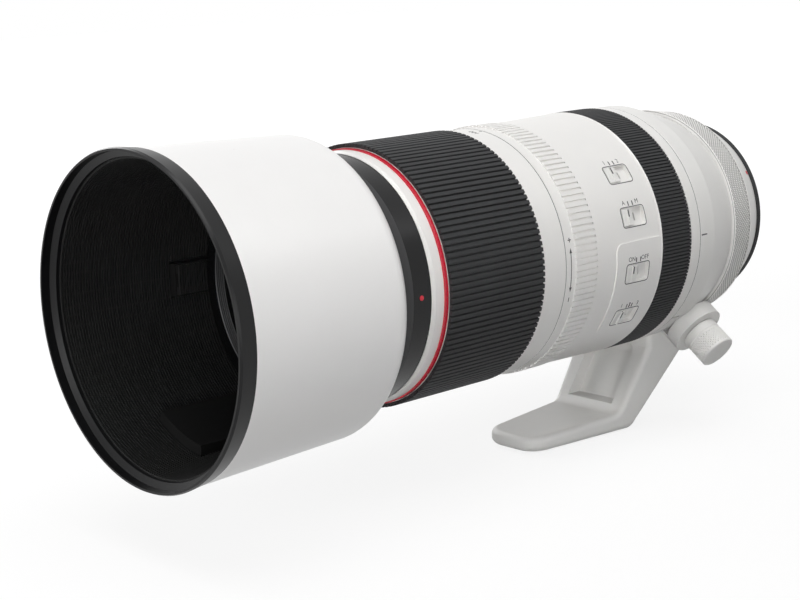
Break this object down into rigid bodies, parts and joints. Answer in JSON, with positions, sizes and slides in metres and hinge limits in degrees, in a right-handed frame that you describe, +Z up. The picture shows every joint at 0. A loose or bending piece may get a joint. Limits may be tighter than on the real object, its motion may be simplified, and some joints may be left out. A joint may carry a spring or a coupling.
{
  "type": "camera zoom lens",
  "caption": "White telephoto zoom lens with its hood fitted: ribbed rubber zoom and focus rings, slide switches, torque ring, and a turning tripod collar with foot and clamp knob.",
  "frame": {"origin": "centre of the mount flange's seating face, on the optical axis", "axes": "+X along the optical axis out of the mount towards the camera, +Z up with the tripod foot below, so the switches face -Y"},
  "size_m": [0.2716, 0.106, 0.129],
  "materials": {
    "white_enamel": "satin warm white enamel",
    "white_casting": "satin white enamel on a casting",
    "white_hood": "satin white paint on moulded plastic",
    "white_anodised": "matte white enamel on tube",
    "switch_resin": "satin white moulded",
    "red_enamel": "glossy red",
    "black_enamel": "satin black enamel",
    "black_rim": "satin black moulded",
    "black_resin": "flat black moulded",
    "black_rubber": "matte moulded ribs",
    "filled_resin": "glass-filled moulded",
    "black_anodised": "black anodised",
    "turned_aluminium": "fine turned",
    "mount_chrome": "satin chromed brass",
    "screw_steel": "fine turned",
    "blackened_steel": "blackened sheet",
    "contact_gold": "gold plated",
    "bronze_motor": "turned",
    "coated_glass": "polished, coated",
    "circuit_laminate": "solder resist on laminate"
  },
  "bodies": {
    "barrel": {"main_barrel": "filled_resin", "guide_tube": "turned_aluminium", "switch_housing": "white_enamel", "cover_ring": "white_enamel", "rear_barrel": "white_enamel", "mount_ring": "mount_chrome", "mount_screws": "screw_steel", "mount_gasket": "black_rubber", "contact_block": "black_resin", "contact_pins": "contact_gold", "rear_baffle": "black_resin", "rear_lens_cell": "black_anodised", "rear_lens": "coated_glass", "main_circuit_board": "circuit_laminate", "stabiliser_frame": "black_anodised", "iris_housing": "black_resin", "iris_blades": "blackened_steel", "iris_cover": "black_anodised", "focus_guide_rods": "screw_steel", "focus_motor": "bronze_motor"},
    "zoom": {"zoom_ring": "white_enamel", "zoom_ring_rubber": "black_rubber", "zoom_keys": "screw_steel", "cam_tube": "turned_aluminium"},
    "front_barrel": {"inner_barrel": "white_anodised", "barrel_rollers": "bronze_motor", "name_ring": "white_enamel", "red_ring": "red_enamel", "front_ring": "black_enamel", "front_lens_cell": "black_anodised", "front_lens": "coated_glass", "second_lens": "coated_glass", "lens_retaining_ring": "black_anodised"},
    "variator": {"variator_frame": "black_anodised", "variator_lens": "coated_glass"},
    "hood": {"hood_shell": "white_hood", "hood_liner": "black_resin", "hood_front_rim": "black_rim", "hood_door_guide": "black_resin"},
    "hood_button": {"hood_lock_button": "black_resin"},
    "filter_door": {"hood_filter_door": "black_resin"},
    "torque": {"torque_ring": "white_enamel"},
    "focus": {"focus_ring": "white_enamel", "focus_ring_rubber": "black_rubber"},
    "control": {"control_ring": "white_enamel"},
    "collar": {"tripod_collar": "white_casting", "foot_bush": "screw_steel"},
    "clamp": {"clamp_screw": "screw_steel"},
    "knob": {"collar_knob": "white_casting"},
    "limiter_switch": {"limiter_lever": "switch_resin"},
    "focus_mode_switch": {"focus_mode_lever": "switch_resin"},
    "stabiliser_switch": {"stabiliser_lever": "switch_resin"},
    "stabiliser_mode_switch": {"stabiliser_mode_lever": "switch_resin"},
    "stab_slider": {"stabiliser_slider": "black_anodised"},
    "stab_carrier": {"stabiliser_carrier": "black_resin", "stabiliser_lens": "coated_glass"},
    "focus_group": {"focus_frame": "black_anodised", "focus_lens": "coated_glass"}
  },
  "joints": [
    {"name": "zoom_ring_turn", "type": "hinge", "parent": "barrel", "child": "zoom", "pos_m": [0, 0, 0], "axis": [1, 0, 0], "range_deg": [0, 75]},
    {"name": "front_barrel_slide", "type": "slide", "parent": "barrel", "child": "front_barrel", "axis": [-1, 0, 0], "range_m": [0, 0.084]},
    {"name": "variator_slide", "type": "slide", "parent": "barrel", "child": "variator", "axis": [-1, 0, 0], "range_m": [0, 0.03]},
    {"name": "hood_turn", "type": "hinge", "parent": "front_barrel", "child": "hood", "pos_m": [0, 0, 0], "axis": [1, 0, 0], "range_deg": [-45, 0]},
    {"name": "hood_button_press", "type": "slide", "parent": "hood", "child": "hood_button", "axis": [0, -1, 0], "range_m": [0, 0.0012], "stiffness_N_per_m": 800},
    {"name": "filter_door_slide", "type": "slide", "parent": "hood", "child": "filter_door", "axis": [-1, 0, 0], "range_m": [0, 0.0135]},
    {"name": "torque_ring_turn", "type": "hinge", "parent": "barrel", "child": "torque", "pos_m": [0, 0, 0], "axis": [1, 0, 0], "range_deg": [-30, 30]},
    {"name": "focus_ring_turn", "type": "hinge", "parent": "barrel", "child": "focus", "pos_m": [0, 0, 0], "axis": [1, 0, 0], "continuous": true},
    {"name": "control_ring_turn", "type": "hinge", "parent": "barrel", "child": "control", "pos_m": [0, 0, 0], "axis": [1, 0, 0], "continuous": true},
    {"name": "tripod_collar_turn", "type": "hinge", "parent": "barrel", "child": "collar", "pos_m": [0, 0, 0], "axis": [1, 0, 0], "continuous": true},
    {"name": "clamp_screw_travel", "type": "slide", "parent": "collar", "child": "clamp", "axis": [0, -0.7986, -0.6018], "range_m": [0, 0.0016]},
    {"name": "clamp_knob_turn", "type": "hinge", "parent": "clamp", "child": "knob", "pos_m": [-0.034, 0.00782, -0.01038], "axis": [0, -0.7986, -0.6018], "range_deg": [0, 720]},
    {"name": "limiter_switch_slide", "type": "slide", "parent": "barrel", "child": "limiter_switch", "axis": [1, 0, 0], "range_m": [0, 0.0036]},
    {"name": "focus_mode_switch_slide", "type": "slide", "parent": "barrel", "child": "focus_mode_switch", "axis": [1, 0, 0], "range_m": [0, 0.0036]},
    {"name": "stabiliser_switch_slide", "type": "slide", "parent": "barrel", "child": "stabiliser_switch", "axis": [1, 0, 0], "range_m": [0, 0.0036]},
    {"name": "stabiliser_mode_switch_slide", "type": "slide", "parent": "barrel", "child": "stabiliser_mode_switch", "axis": [1, 0, 0], "range_m": [0, 0.0052]},
    {"name": "stabiliser_shift_z", "type": "slide", "parent": "barrel", "child": "stab_slider", "axis": [0, 0, 1], "range_m": [-0.0009, 0.0009]},
    {"name": "stabiliser_shift_y", "type": "slide", "parent": "stab_slider", "child": "stab_carrier", "axis": [0, 1, 0], "range_m": [-0.0009, 0.0009]},
    {"name": "focus_group_slide", "type": "slide", "parent": "barrel", "child": "focus_group", "axis": [-1, 0, 0], "range_m": [0, 0.007]}
  ],
  "couplings": [
    {"joint": "front_barrel_slide", "follows": "zoom_ring_turn", "m_per_rad": 0.064171},
    {"joint": "variator_slide", "follows": "zoom_ring_turn", "m_per_rad": 0.022918},
    {"joint": "clamp_screw_travel", "follows": "clamp_knob_turn", "m_per_rad": 0.00012732}
  ]
}
